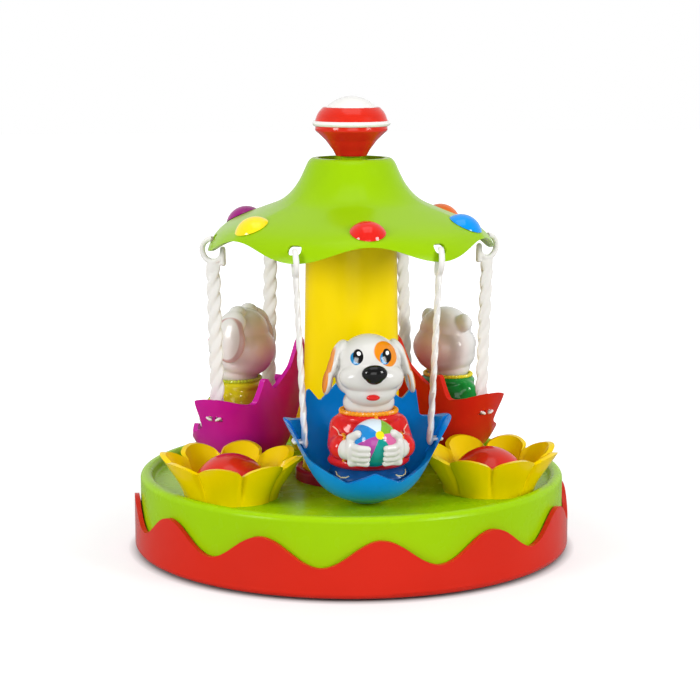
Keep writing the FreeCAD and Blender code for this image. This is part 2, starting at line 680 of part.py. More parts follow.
def knob_upper():
    return revolved([
        (14.0, KNOB_RING_TOP_Z), (18.4, KNOB_RING_TOP_Z), (17.0, KNOB_RING_TOP_Z + 4.0, 9),
        (KNOB_CAP_R + 1.6, KNOB_BAND_TOP_Z, 0.8), (KNOB_CAP_R - 2, KNOB_BAND_TOP_Z),
        (KNOB_CAP_R - 2, KNOB_BAND_TOP_Z - 1.8), (14.0, KNOB_BAND_TOP_Z - 3.2)])


def knob_cap():
    dome = dome_cap(KNOB_CAP_R, KNOB_TOP_Z - KNOB_BAND_TOP_Z, KNOB_BAND_TOP_Z)
    plug = tube(KNOB_CAP_R - 2, KNOB_CAP_R - 4, KNOB_BAND_TOP_Z - 1.8, KNOB_BAND_TOP_Z + 0.5)
    return dome.fuse(plug)


# ---------------------------------------------------------------- seats and ropes
def seat_ring(level, inset, lift):
    """Level ring of two half ellipses that share a width: one to the front, one to the back."""
    z, half_width, front, back = level
    points = []
    for i in range(SEAT_RING_POINTS):
        angle = 2 * math.pi * i / SEAT_RING_POINTS
        out = math.sin(angle) * ((front if math.sin(angle) > 0 else back) - inset)
        points.append(V(math.cos(angle) * (half_width - inset), -(SEAT_U + out), z + lift))
    return smooth_ring(points)


def seat_bowl(inset, lift):
    return Part.makeLoft([seat_ring(level, inset, lift) for level in SEAT_LEVELS], True, False)


def seat_shell():
    """Tulip bucket: a bowl whose edge is cut into a tall back, two wings and a front lip."""
    bowl = seat_bowl(0.0, 0.0)
    # the inner form is lifted by the floor's thickness and drawn in by the wall's
    hollow = seat_bowl(SEAT_WALL, SEAT_WALL * 0.7)
    shell = bowl.cut(hollow)
    top = 140.0
    back_half = [(0, 107.5, 1.6), (3.6, 104.5, 3), (9.0, 92.5, 8), (20.5, 81.8, 1.4), (27.2, 90.3, 1.4),
                 (28.6, 74.6, 1.6), (35.0, 75.6, 8), (41.5, 78.4, 0.0), (70.0, 79.0, 0)]
    front_half = [(0, 56.4, 2.4), (12.5, 50.4, 3.0), (30.0, 60.0, 8.0), (38.6, 76.4, 3.0), (41.5, 78.4, 0.0),
                  (70.0, 79.0, 0)]
    for half, y_low, y_high in ((back_half, -SEAT_U + 2, 0), (front_half, -140, -SEAT_U + 2)):
        left = [(-a, b, r) for a, b, r in half[1:]][::-1]
        corners = left + half + [(70, top, 0), (-70, top, 0)]
        face = Part.Face(rounded_wire(corners, lambda a, b: V(a, y_low, b)))
        shell = shell.cut(face.extrude(V(0, y_high - y_low, 0)))
    return shell.cut([leaf_slot(u, tilt) for u, tilt in prong_places()])


def prong_places():
    """Distance from the spin axis and slant of the two slots in each wing."""
    return [(HOOK_U - PRONG_PITCH / 2, -PRONG_TILT), (HOOK_U + PRONG_PITCH / 2, PRONG_TILT)]


def leaf_slot(u, tilt):
    """Leaf-shaped slot through both wings, where a prong of the rope comes out."""
    tip_a, tip_b = V(-60, -SLOT_L / 2, 0), V(-60, SLOT_L / 2, 0)
    edges = [Part.Arc(tip_a, V(-60, 0, SLOT_H / 2), tip_b).toShape(),
             Part.Arc(tip_b, V(-60, 0, -SLOT_H / 2), tip_a).toShape()]
    slot = Part.Face(Part.Wire(edges)).extrude(V(120, 0, 0))
    slot.rotate(ORIGIN, V(1, 0, 0), tilt)
    slot.translate(V(0, -u, PRONG_Z))
    return slot


def rope(side):
    """Moulded rope in one piece with its hook and its two seat prongs."""
    lean = math.degrees(math.atan2(ROPE_S_TOP - ROPE_S_FOOT, HOOK_Z - ROPE_FOOT_Z))
    length = ROPE_TOP_Z - ROPE_FOOT_Z
    knots = 11
    edge = []
    for i in range(knots * 2 + 1):
        z = ROPE_FOOT_Z + length * i / (knots * 2)
        edge.append((ROPE_W / 2 - (0.5 if i % 2 else 0.0), z))
    left = [V(0, a, b) for a, b in edge]
    right = [V(0, -a, b) for a, b in edge]
    outline = []
    for points in (left, right[::-1]):
        curve = Part.BSplineCurve()
        curve.interpolate(points)
        outline.append(curve.toShape())
    outline.append(Part.makeLine(left[-1], right[-1]))
    outline.append(Part.makeLine(right[0], left[0]))
    bar = Part.Face(Part.Wire(Part.__sortEdges__(outline))).extrude(V(ROPE_T, 0, 0))
    bar.translate(V(-ROPE_T / 2, 0, -HOOK_Z))
    ring_out, ring_in = HOOK_R + ROPE_T / 2, HOOK_R - ROPE_T / 2
    ring = Part.makeCylinder(ring_out, ROPE_T, V(-ROPE_T / 2, 0, 0), V(1, 0, 0))
    ring = ring.cut(Part.makeCylinder(ring_in, ROPE_T + 2, V(-ROPE_T / 2 - 1, 0, 0), V(1, 0, 0)))
    quarter = Part.makeBox(ROPE_T + 2, ring_out + 1, ring_out + 1, V(-ROPE_T / 2 - 1, 0, -ring_out - 1))
    ring = ring.cut(quarter)
    tail = Part.makeBox(ROPE_T, ROPE_T, HOOK_Z - TAIL_Z, V(-ROPE_T / 2, ring_in, TAIL_Z - HOOK_Z))
    body = fused([bar, ring, tail])
    body.rotate(ORIGIN, V(0, 1, 0), side * lean)
    body.translate(V(side * ROPE_S_TOP, -HOOK_U, HOOK_Z))
    prongs = [Part.makeCylinder(PRONG_R, PRONG_L, V(side * ROPE_S_FOOT, -u, PRONG_Z), V(side, 0, 0))
              for u, _ in prong_places()]
    return body.fuse(prongs)


# ---------------------------------------------------------------- riders
def torso_form(inset):
    """Seated body as a stack of ellipses, from the floor of the seat to the shoulders."""
    rings = []
    for z, half_width, depth, u in TORSO_LEVELS:
        centre = V(0, -u, z)
        ellipse = Part.Ellipse(centre + V(half_width - inset, 0, 0), centre + V(0, depth - inset, 0), centre)
        rings.append(Part.Wire([ellipse.toShape()]))
    return Part.makeLoft(rings, True, False)


def rider_arms():
    """Bent arms that end in paws held in front of the chest."""
    limbs = []
    for side in (-1, 1):
        shoulder, elbow = V(side * 16.5, -RIDER_U - 1, 75.0), V(side * 18.0, -RIDER_U - 8.0, 65.5)
        paw = V(side * 10.5, -RIDER_U - 17.0, 67.0)
        limbs += [capsule(shoulder, elbow, 4.6, 5.2), capsule(elbow, paw, 5.0, 4.6)]
    return limbs


def rider_body(front_u):
    """Hollow moulding, open underneath where it sits in the bowl, with a neck for the head.

    The hollow ends at front_u; a solid belly makes an empty-handed rider hang level.
    """
    neck = cylinder(NECK_R, SHOULDER_Z - 4, NECK_TOP_Z, V(0, -RIDER_U, 0))
    outer = fused([torso_form(0.0), neck] + rider_arms())
    room = Part.makeBox(120, 80, SHOULDER_Z - 4, V(-60, -front_u, 0))
    return outer.cut(torso_form(RIDER_WALL).common(room))


def head_form(sizes, inset):
    """Round skull with a muzzle across the front of it."""
    skull_r, muzzle_u, muzzle_z, muzzle_half, muzzle_r = sizes
    skull = Part.makeSphere(skull_r - inset, V(0, -RIDER_U - 1, HEAD_Z))
    reach = V(muzzle_half - muzzle_r, 0, 0)
    snout = V(0, -muzzle_u, muzzle_z)
    return skull.fuse(capsule(snout - reach, snout + reach, muzzle_r - inset, muzzle_r - inset))


def hollow_head(sizes, ears):
    """Head with two ears, hollow and open at the neck."""
    neck = cylinder(NECK_R + FIT_GAP, SHOULDER_Z - 4, NECK_TOP_Z, V(0, -RIDER_U, 0))
    return head_form(sizes, 0.0).fuse(ears).cut(head_form(sizes, RIDER_WALL)).cut(neck)


def ear_plate(outline, thickness, place, tilt):
    """Flat ear from an outline of (across, up, rounding) corners, with softened edges."""
    plate = Part.Face(rounded_wire(outline, lambda a, b: V(-thickness / 2, a, b))).extrude(V(thickness, 0, 0))
    plate = plate.makeFillet(thickness * EAR_ROUNDING, plate.Edges)
    plate.rotate(ORIGIN, V(0, 1, 0), tilt)
    plate.translate(place)
    return plate


def dog_head():
    ear = [(-8.0, -15.0, 6.5), (8.0, -15.0, 6.5), (6.5, 12.0, 6.0), (-5.5, 12.0, 5.0)]
    ears = [ear_plate(ear, 3.6, V(side * 18.4, -RIDER_U - 1, 99.5), -side * 12.0) for side in (-1, 1)]
    return hollow_head(DOG_HEAD, ears)


def dog_nose():
    middle, reach = V(0, -RIDER_U - 21.0, 103.0), V(1.8, 0, 0)
    return capsule(middle - reach, middle + reach, 3.6, 3.6).cut(head_form(DOG_HEAD, 0.0))


def ball():
    """Hollow ball held against the chest, open where it is glued into its pocket."""
    middle = V(0, -BALL_U, BALL_Z)
    shell = Part.makeSphere(BALL_R, middle).cut(Part.makeSphere(BALL_R - BALL_WALL, middle))
    return shell.cut(Part.makeBox(40, 20, 40, V(-20, -BALL_OPEN_U, BALL_Z - 20)))


def long_ear_head():
    ear = [(-8.0, -16.0, 6.5), (9.0, -16.0, 7.0), (10.0, 12.0, 8.0), (-8.0, 13.0, 7.0)]
    ears = [ear_plate(ear, 3.2, V(side * 18.0, -RIDER_U + 1, 102.0), -side * 9.0) for side in (-1, 1)]
    return hollow_head(BUNNY_HEAD, ears)


def round_ear_head():
    ear = [(-5.6, -5.6, 5.2), (5.6, -5.6, 5.2), (5.6, 5.6, 5.2), (-5.6, 5.6, 5.2)]
    ears = [ear_plate(ear, 3.4, ORIGIN, 0.0) for side in (-1, 1)]
    for side, plate in zip((-1, 1), ears):
        plate.rotate(ORIGIN, UP, 90.0)
        plate.translate(V(side * 13.4, -RIDER_U + 1, 114.0))
    return hollow_head(BEAR_HEAD, ears)


# ---------------------------------------------------------------- flowers
def petal_share(angle):
    return abs(math.cos(math.radians(angle / 2))) ** 0.55


def flower_form(inset, lift):
    rings = [lobed_ring(ORIGIN, DECK_FLOOR_Z + z + lift, r_notch - inset, r_petal - inset,
                        PETALS, petal_share, 96)
             for z, r_notch, r_petal in FLOWER_LEVELS]
    return Part.makeLoft(rings, True, False)


def petal_height(azimuth):
    return PETAL_NOTCH_Z + (PETAL_TOP_Z - PETAL_NOTCH_Z) * petal_share(azimuth * PETALS)


def flower(azimuth):
    cup = flower_form(0.0, 0.0).cut(flower_form(PETAL_WALL, PETAL_WALL))
    cup = cup.cut(wave_cutter(ORIGIN, 12, 60, petal_height, PETALS * 12, 40))
    cup.translate(polar(FLOWER_AT_R, 0))
    cup = turned(cup, azimuth)
    for at in flower_screw_places(azimuth):
        cup = cup.cut(cylinder(SCREW_HOLE_R, DECK_FLOOR_Z - 1, DECK_FLOOR_Z + PETAL_WALL + 1, at))
    return cup


def flower_dome(azimuth):
    """Hollow dome with three screw bosses, standing in the cup."""
    at = polar(FLOWER_AT_R, azimuth)
    low = DECK_FLOOR_Z + PETAL_WALL
    height = DOME_TOP_Z - low
    outer = dome_cap(DOME_R, height, low, at)
    dome = outer.cut(dome_cap(DOME_R - DOME_WALL, height - DOME_WALL, low, at))
    places = flower_screw_places(azimuth)
    bosses = [cylinder(BOSS_R, low, DOME_TOP_Z, place).common(outer) for place in places]
    holes = [cylinder(SCREW_HOLE_R, low - 1, low + SCREW_LENGTH, place) for place in places]
    return dome.fuse(bosses).cut(holes)


def flower_screws():
    low = DECK_FLOOR_Z - DECK_FLOOR_T
    return [screw(at, low, down=False, length=6) for azimuth in FLOWER_AZIMUTHS.values()
            for at in flower_screw_places(azimuth)]


# ---------------------------------------------------------------- the parts
def at_seat(shape, colour):
    return turned(shape, SEAT_AZIMUTHS[colour])


def build():
    parts = {
        "base_tub": base_tub(), "base_cover": base_cover(), "base_feet": base_feet(),
        "base_screws": base_screws(), "cover_screws": cover_screws(), "centre_post": centre_post(),
        "thrust_washer": thrust_washer(), "rod_guide": rod_guide(), "return_spring": return_spring(),
        "deck": deck(), "lower_bush": lower_bush(), "column": column(), "column_foot": column_foot(),
        "column_screws": column_screws(), "upper_bush": upper_bush(), "ratchet_ring": ratchet_ring(),
        "clutch_cap": clutch_cap(), "drive_nut": drive_nut(), "drive_rod": drive_rod(),
        "canopy": canopy(), "canopy_screws": canopy_screws(), "flower_screws": flower_screws(),
        "knob_lower": knob_lower(), "knob_ring": knob_ring(), "knob_upper": knob_upper(),
        "knob_cap": knob_cap(),
    }
    roof = roof_solid(-STUD_GLUE, 0.0)
    for i, colour in enumerate(STUD_COLOURS):
        parts["stud_" + colour] = stud(60.0 * i, roof)
    for place, azimuth in FLOWER_AZIMUTHS.items():
        parts["flower_" + place] = flower(azimuth)
        parts["flower_dome_" + place] = flower_dome(azimuth)
    shell, ropes = seat_shell(), {"left": rope(-1), "right": rope(1)}
    riders = {"blue": ("dog", dog_head()), "red": ("bear", round_ear_head()),
              "purple": ("bunny", long_ear_head())}
    for colour, (name, head) in riders.items():
        parts["seat_" + colour] = at_seat(shell, colour)
        for side, shape in ropes.items():
            parts["rope_%s_%s" % (colour, side)] = at_seat(shape, colour)
        parts[name + "_head"] = at_seat(head, colour)
        if name == "dog":
            body = rider_body(FULL_HOLLOW_U).cut(Part.makeSphere(BALL_R, V(0, -BALL_U, BALL_Z)))
        else:
            body = rider_body(BELLY_U)
        parts[name + "_body"] = at_seat(body.cut(head), colour)
    parts["dog_nose"] = dog_nose()
    parts["dog_ball"] = ball()
    return parts


os.makedirs("parts", exist_ok=True)
for name, shape in build().items():
    solid = Part.makeCompound(shape) if isinstance(shape, list) else shape
    solid.exportStep("parts/" + name + ".step")
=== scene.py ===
"""Press-and-spin toy merry-go-round: the finish of its moulded pieces, its riders and its swing ropes."""
import json
import math

import bpy
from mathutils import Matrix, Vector


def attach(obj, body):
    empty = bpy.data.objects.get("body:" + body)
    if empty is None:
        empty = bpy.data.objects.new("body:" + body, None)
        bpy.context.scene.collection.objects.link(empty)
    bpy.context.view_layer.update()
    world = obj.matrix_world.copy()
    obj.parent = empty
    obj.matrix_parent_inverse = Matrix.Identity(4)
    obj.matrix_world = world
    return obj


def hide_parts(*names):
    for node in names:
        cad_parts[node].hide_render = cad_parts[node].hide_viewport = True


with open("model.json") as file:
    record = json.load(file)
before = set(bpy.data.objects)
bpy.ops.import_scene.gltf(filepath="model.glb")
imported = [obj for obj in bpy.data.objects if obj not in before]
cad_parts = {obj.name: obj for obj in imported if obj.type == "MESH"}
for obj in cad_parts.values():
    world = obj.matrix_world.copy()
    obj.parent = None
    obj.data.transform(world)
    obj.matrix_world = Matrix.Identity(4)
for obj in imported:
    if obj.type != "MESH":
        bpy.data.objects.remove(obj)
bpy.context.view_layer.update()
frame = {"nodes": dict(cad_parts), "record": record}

MM = 0.001

# ---------------------------------------------------------------- camera and light
CAMERA_TURN = math.radians(-7.4)     # round the spin axis, from the middle of the blue seat
CAMERA_OUT = 1.009255                # metres from the spin axis
CAMERA_HIGH = 0.265514               # metres above the table
CAMERA_DIP = math.radians(9.2406)    # below the horizon
LENS = 102.3                         # mm, on a 36 mm sensor
AIM_HIGH = 0.11                      # metres: the height that the lights point at

bpy.ops.object.camera_add(
    location=(CAMERA_OUT * math.sin(CAMERA_TURN), -CAMERA_OUT * math.cos(CAMERA_TURN), CAMERA_HIGH),
    rotation=(math.radians(90) - CAMERA_DIP, 0, CAMERA_TURN))
camera = bpy.context.object
camera.data.sensor_width = 36
camera.data.lens = LENS
camera.data.shift_x = -0.0019
bpy.context.scene.camera = camera
bpy.context.scene.view_settings.view_transform = "Standard"


def softbox(name, azimuth, out, high, width, height, watts):
    """Studio light aimed at the middle of the toy: its place and sides are in metres."""
    turn = math.radians(azimuth)
    place = Vector((out * math.sin(turn), -out * math.cos(turn), high))
    aim = Vector((0, 0, AIM_HIGH)) - place
    bpy.ops.object.light_add(type="AREA", location=place, rotation=aim.to_track_quat("-Z", "Y").to_euler())
    lamp = bpy.context.object
    lamp.name = name
    lamp.data.shape = "RECTANGLE"
    lamp.data.size = width
    lamp.data.size_y = height
    lamp.data.energy = watts


softbox("key_light", 50, 1.5, 0.66, 0.45, 0.55, 14)
softbox("fill_light", -58, 1.5, 0.62, 0.45, 0.55, 13)
softbox("front_light", -4, 1.9, 0.36, 1.1, 0.9, 7.5)
softbox("top_light", 0, 0.35, 1.9, 1.2, 1.2, 6)


# ---------------------------------------------------------------- nodes and colours
def linear(hex_colour):
    """Linear colour from an sRGB hex value."""
    channels = [int(hex_colour[i:i + 2], 16) / 255 for i in (0, 2, 4)]
    return [c / 12.92 if c <= 0.04045 else ((c + 0.055) / 1.055) ** 2.4 for c in channels] + [1.0]


def add(tree, kind, settings):
    """Adds one node: a setting is a property, an input's value, or the socket that feeds that input."""
    made = tree.nodes.new(kind)
    for key, value in settings.items():
        if isinstance(key, str) and hasattr(made, key) and key not in made.inputs:
            setattr(made, key, value)
        elif isinstance(value, bpy.types.NodeSocket):
            tree.links.new(value, made.inputs[key])
        else:
            made.inputs[key].default_value = value
    return made


def new_material(name):
    """An empty node material with its shader: returns the material, its tree and the shader."""
    material = bpy.data.materials.new(name)
    material.use_nodes = True
    tree = material.node_tree
    return material, tree, tree.nodes["Principled BSDF"]


CLOUD_SIZE = 35                      # mm across a patch of slightly lighter or darker pigment
TONE = 0.05                          # how much such a patch differs
HAZE_SIZE = 9                        # mm across a patch that is a little more or less polished
PEEL_SIZE = 1.6                      # mm across a dimple of the tool's surface


def moulded(name, hex_colour, roughness=0.17, gloss=0.16):
    """Injection-moulded plastic: even colour, mirror-like gloss and a faint orange peel from the tool.

    Broad pigment clouds keep large faces from looking flat, hazy patches break up the highlights,
    and the peel makes the edge of a highlight waver as it does on a real moulding."""
    material, tree, shader = new_material(name)
    where = add(tree, "ShaderNodeTexCoord", {}).outputs["Object"]
    cloud = add(tree, "ShaderNodeTexNoise", {"Vector": where, "Scale": 1 / (CLOUD_SIZE * MM), "Detail": 2.0})
    shade = add(tree, "ShaderNodeMapRange", {"Value": cloud.outputs["Fac"], "To Min": 1 - TONE,
                                             "To Max": 1 + TONE})
    colour = add(tree, "ShaderNodeHueSaturation", {"Value": shade.outputs["Result"],
                                                   "Color": linear(hex_colour)})
    tree.links.new(colour.outputs["Color"], shader.inputs["Base Color"])
    haze = add(tree, "ShaderNodeTexNoise", {"Vector": where, "Scale": 1 / (HAZE_SIZE * MM), "Detail": 3.0})
    polish = add(tree, "ShaderNodeMapRange", {"Value": haze.outputs["Fac"], "To Min": roughness * 0.8,
                                              "To Max": roughness * 1.25})
    tree.links.new(polish.outputs["Result"], shader.inputs["Roughness"])
    # the peel of the tool's surface is drawn a little coarser than it is, so that it shows
    peel = add(tree, "ShaderNodeTexNoise", {"Vector": where, "Scale": 1 / (PEEL_SIZE * MM), "Detail": 1.0})
    bump = add(tree, "ShaderNodeBump", {"Height": peel.outputs["Fac"], "Strength": 0.08,
                                        "Distance": 0.05 * MM})
    tree.links.new(bump.outputs["Normal"], shader.inputs["Normal"])
    shader.inputs["IOR"].default_value = 1.5
    shader.inputs["Specular IOR Level"].default_value = gloss
    return material


FINISHES = {
    # the wavy tub: saturated red, a broad soft highlight down its 29 mm wall
    "tub_red": moulded("red_abs", "D42817"),
    # the drum and roof: lime, the drum a little duller where hands rub it
    "deck_green": moulded("lime_abs", "9CCB05", 0.26, 0.1),
    "roof_green": moulded("lime_abs_roof", "98C605", 0.22, 0.13),
    # clear warm yellow on the 50 mm column, with one tall soft streak of light
    "column_yellow": moulded("yellow_abs", "FFDF00", 0.2, 0.1),
    # the flowers: deeper yellow petals 2 mm thick round glossy red domes
    "petal_yellow": moulded("petal_yellow_abs", "F4D200"),
    "dome_red": moulded("dome_red_abs", "D42817", 0.14, 0.35),
    # the 40 mm knob: polished red and white bands that catch a sharp highlight
    "knob_red": moulded("knob_red_abs", "DC2A18", 0.14, 0.35),
    "knob_white": moulded("white_abs", "F2F1EC", 0.14, 0.35),
    # the 6 mm collar at the foot of the column, dark so that the column stands clear
    "collar_red": moulded("maroon_abs", "A8213A"),
    # the buckets: waxy polypropylene, so their highlights are wider than on the hard plastic
    "seat_blue": moulded("blue_polypropylene", "008FEE", 0.24),
    "seat_red": moulded("red_polypropylene", "D42817", 0.24),
    "seat_purple": moulded("purple_polypropylene", "CC18A0", 0.24),
    # the ropes: the same waxy plastic uncoloured, 4 mm strands that shade each other
    "rope_white": moulded("white_polypropylene", "ECEAE6", 0.3),
    # the 17 mm studs: polished like sweets, the glossiest pieces on the toy
    "stud_red": moulded("red_styrene", "E2231A", 0.08, 0.4),
    "stud_blue": moulded("blue_styrene", "0095F0", 0.08, 0.4),
    "stud_orange": moulded("orange_styrene", "E86A00", 0.08, 0.4),
    "stud_green": moulded("green_styrene", "2E9E3F", 0.08, 0.4),
    "stud_purple": moulded("purple_styrene", "A0107F", 0.08, 0.4),
    "stud_yellow": moulded("yellow_styrene", "FFE21A", 0.08, 0.4),
    # under-coats of the riders, seen only where a modelled figure leaves the moulding bare
    "figure_white": moulded("white_painted_abs", "F1EFEA", 0.14),
    "figure_red": moulded("red_painted_abs", "D42817", 0.14),
    "figure_green": moulded("green_painted_abs", "1F9A3A", 0.14),
    "figure_olive": moulded("olive_painted_abs", "C9BE22", 0.14),
    "nose_black": moulded("black_painted_abs", "141414", 0.08),
    "ball_paint": moulded("ball_painted_abs", "2F8FD0", 0.12),
    # inside and below: black rubber pads, waxy white acetal and charcoal plastic, all dull
    "foot_rubber": moulded("black_elastomer", "2A2A2A", 0.6),
    "acetal": moulded("natural_acetal", "EDEBE2", 0.35),
    "dark_plastic": moulded("charcoal_abs", "3A3C40", 0.4),
    # screws and washer: bright zinc; the 0.6 mm spring wire is greyer
    "steel": moulded("zinc_plated_steel", "B9BCC0", 0.3),
    "spring_steel": moulded("drawn_steel_wire", "8F9398", 0.3),
}
for name in ("steel", "spring_steel"):
    FINISHES[name].node_tree.nodes["Principled BSDF"].inputs["Metallic"].default_value = 1.0

slot_of = {part["node"]: part["material_slot"] for part in frame["record"]["subparts"]}
for node, obj in frame["nodes"].items():
    obj.data.materials.clear()
    obj.data.materials.append(FINISHES[slot_of[node]])


# ---------------------------------------------------------------- modelling
def alone(obj=None):
    """Object mode with only that piece selected."""
    if bpy.context.object and bpy.context.object.mode != "OBJECT":
        bpy.ops.object.mode_set(mode="OBJECT")
    bpy.ops.object.select_all(action="DESELECT")
    if obj:
        obj.select_set(True)
        bpy.context.view_layer.objects.active = obj


def globe(centre, radii, turn=(0, 0, 0)):
    """Ellipsoid in millimetres and degrees, the start of a rounded form."""
    alone()
    bpy.ops.mesh.primitive_uv_sphere_add(segments=40, ring_count=24, radius=1, location=Vector(centre) * MM,
                                         rotation=[math.radians(a) for a in turn], scale=Vector(radii) * MM)
    return bpy.context.object


def limb(start, end, r_start, r_end):
    """Round-ended limb between two points."""
    start, end = Vector(start), Vector(end)
    alone()
    bpy.ops.mesh.primitive_cone_add(vertices=32, radius1=r_start * MM, radius2=r_end * MM,
                                    depth=(end - start).length * MM, location=(start + end) / 2 * MM,
                                    rotation=(end - start).to_track_quat("Z", "Y").to_euler())
    return [bpy.context.object, globe(start, (r_start,) * 3), globe(end, (r_end,) * 3)]


def joined(parts):
    """One object from several, with its place in its mesh."""
    alone(parts[0])
    for part in parts:
        part.select_set(True)
    if len(parts) > 1:
        bpy.ops.object.join()
    bpy.ops.object.transform_apply(location=True, rotation=True, scale=True)
    return bpy.context.object


def apply_all(obj):
    """Applies the modifiers of a piece in their order."""
    alone(obj)
    for modifier in list(obj.modifiers):
        bpy.ops.object.modifier_apply(modifier=modifier.name)


def skin(parts, voxel, rounds):
    """Closed moulding round several forms, with the creases between them softened."""
    obj = joined(parts)
    remesh = obj.modifiers.new("skin", "REMESH")
    remesh.mode = "VOXEL"
    remesh.voxel_size = voxel * MM
    soften = obj.modifiers.new("soften", "SMOOTH")
    soften.factor = 0.5
    soften.iterations = rounds
    apply_all(obj)
    bpy.ops.object.shade_smooth()
    return obj


def keep(obj, name, material, body, turn=0.0, replaces=()):
    """Names a finished piece, turns it round the spin axis to its seat, and mounts it on its body."""
    alone(obj)
    bpy.ops.object.transform_apply(location=True, rotation=True, scale=True)
    obj.rotation_euler = (0, 0, math.radians(turn))
    bpy.ops.object.transform_apply(location=True, rotation=True, scale=True)
    obj.name = name
    obj.data.name = name
    obj.data.materials.clear()
    obj.data.materials.append(material)
    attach(obj, body)
    if replaces:
        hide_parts(*replaces)


def piping(points, radius, onto=None, closed=False):
    """Raised line of a radius along points, laid on a surface where one is given."""
    curve = bpy.data.curves.new("line", "CURVE")
    curve.dimensions = "3D"
    spline = curve.splines.new("NURBS")
    spline.points.add(len(points) - 1)
    for knot, point in zip(spline.points, points):
        knot.co = (*(Vector(point) * MM), 1)
    spline.order_u = 3
    spline.use_endpoint_u = not closed
    spline.use_cyclic_u = closed
    curve.resolution_u = 8
    obj = bpy.data.objects.new("line", curve)
    bpy.context.scene.collection.objects.link(obj)
    alone(obj)
    if onto:
        bpy.ops.object.convert(target="MESH")
        wrap = obj.modifiers.new("lay", "SHRINKWRAP")
        wrap.target = onto
        apply_all(obj)
        bpy.ops.object.convert(target="CURVE")
    obj.data.bevel_depth = radius * MM
    obj.data.bevel_resolution = 3
    obj.data.use_fill_caps = True
    bpy.ops.object.convert(target="MESH")
    bpy.ops.object.shade_smooth()
    return obj


# ---------------------------------------------------------------- painted finishes
def seat_place(tree, turn, centre=(0, 0, 0)):
    """Metres from a point, in the frame of the seat that is turned round the spin axis."""
    where = add(tree, "ShaderNodeTexCoord", {}).outputs["Object"]
    turned = add(tree, "ShaderNodeMapping", {"Vector": where, "Rotation": (0, 0, math.radians(-turn))})
    return add(tree, "ShaderNodeMapping", {"Vector": turned.outputs["Vector"],
                                           "Location": -Vector(centre) * MM}).outputs["Vector"]


def spot(tree, place, radii, edge=0.05):
    """1 inside an ellipsoid about the place's origin, 0 outside."""
    scaled = add(tree, "ShaderNodeVectorMath", {"operation": "MULTIPLY", 0: place,
                                                1: [1 / (r * MM) for r in radii]})
    reach = add(tree, "ShaderNodeVectorMath", {"operation": "LENGTH", 0: scaled.outputs["Vector"]})
    inside = add(tree, "ShaderNodeMapRange", {"Value": reach.outputs["Value"], "From Min": 1 + edge,
                                              "From Max": 1 - edge})
    return inside.outputs["Result"]


def paint(tree, below, over, share):
    """Colour over another where share is 1."""
    layer = add(tree, "ShaderNodeMix", {"data_type": "RGBA", 0: share, 6: below, 7: over})
    return layer.outputs[2]


def recolour(material, colour):
    """Puts a painted colour through the moulding's own tone, in place of its plain colour."""
    tone = next(n for n in material.node_tree.nodes if n.type == "HUE_SAT")
    material.node_tree.links.new(colour, tone.inputs["Color"])
    return material


# ---------------------------------------------------------------- riders
# All places and sizes from here on are in millimetres.
RIDER_OUT = 65                       # distance of a rider's middle from the spin axis
BALL_OUT = 18                        # the ball's distance in front of the rider's middle
BALL_HIGH = 70
BALL_AT = (0, -RIDER_OUT - BALL_OUT, BALL_HIGH)
BALL_RADIUS = 11.5
FINGER_PITCH = 2.65
CUFF_POINTS = 28                     # turns of a cuff's zigzag
CUFF_RADIUS = 6.3
COLLAR_RIBS = 44
SEATS = {"blue": 0, "red": 120, "purple": -120}


def front(x, out, z):
    """Point by its place across the seat, its distance from the rider's middle, and its height."""
    return (x, -RIDER_OUT - out, z)


def jumper(reach, low):
    """Round-shouldered top with raglan sleeves bent forward to the paws."""
    parts = [globe(front(0, 0, 66), (19.9, 15.4, 15)), globe(front(0, 0, 72), (18.4, 13.4, 12.4)),
             globe(front(0, 0, 58.5), (20.2, 16.2, 5.4)), globe(front(0, 0, 79.4), (15.6, 13.6, 4.6))]
    for side in (-1, 1):
        parts += limb(front(side * 13.2, 0.5, 75.0), front(side * 15.0, 7, 67), 6.0, 6.0)
        parts += limb(front(side * 15.0, 7, 67), front(side * 14.6, 12.6 - reach, 67 - low), 6.0, 6.2)
    return skin(parts, 0.6, 8)


def trousers():
    """Seat and lap below the hem of the jumper."""
    parts = [globe(front(0, -0.5, 50), (20.4, 14.8, 9)), globe(front(0, -1.5, 44.5), (13, 10.6, 6))]
    for side in (-1, 1):
        parts.append(globe(front(side * 10, 5, 50), (9.6, 9.4, 6.4)))
    return skin(parts, 0.7, 8)


def paw(side):
    """Mitten with four stacked fingers and a thumb, wrapped round the side of the ball."""
    parts = limb(front(side * 13.8, 13.5, 66.5), front(side * 11.8, 17.6, 67.0), 5.0, 5.2)
    parts.append(globe(front(side * 10.9, 20.2, 67.6), (3.4, 5.0, 6.8), (0, 0, side * 12)))
    for i in range(4):
        high = 61.4 + FINGER_PITCH * i
        swell = math.sqrt(BALL_RADIUS ** 2 - (high - BALL_HIGH) ** 2)
        knuckle = front(side * 8.2, BALL_OUT + math.sqrt(swell ** 2 - 50) + 0.9, high)
        tip = front(side * 4.4, BALL_OUT + math.sqrt(swell ** 2 - 16) + 0.7, high)
        parts += limb(front(side * 11.4, 22.0, high), knuckle, 1.9, 1.75)
        parts += limb(knuckle, tip, 1.75, 1.5)
    parts += limb(front(side * 11.2, 20.5, 73.0), front(side * 8.6, 24.2, 75.6), 2.4, 2.0)
    return skin(parts, 0.4, 3)


def head(forms, ears):
    """Vinyl head: skull, snout, chin and neck run into each other, the ears hang from the sides."""
    parts = [globe(*form) for form in forms]
    parts.append(globe(front(0, 0, 86.5), (12.6, 11.4, 8.0)))
    for ear in ears:
        parts += [globe(*form) for form in ear]
    return skin(parts, 0.55, 11)


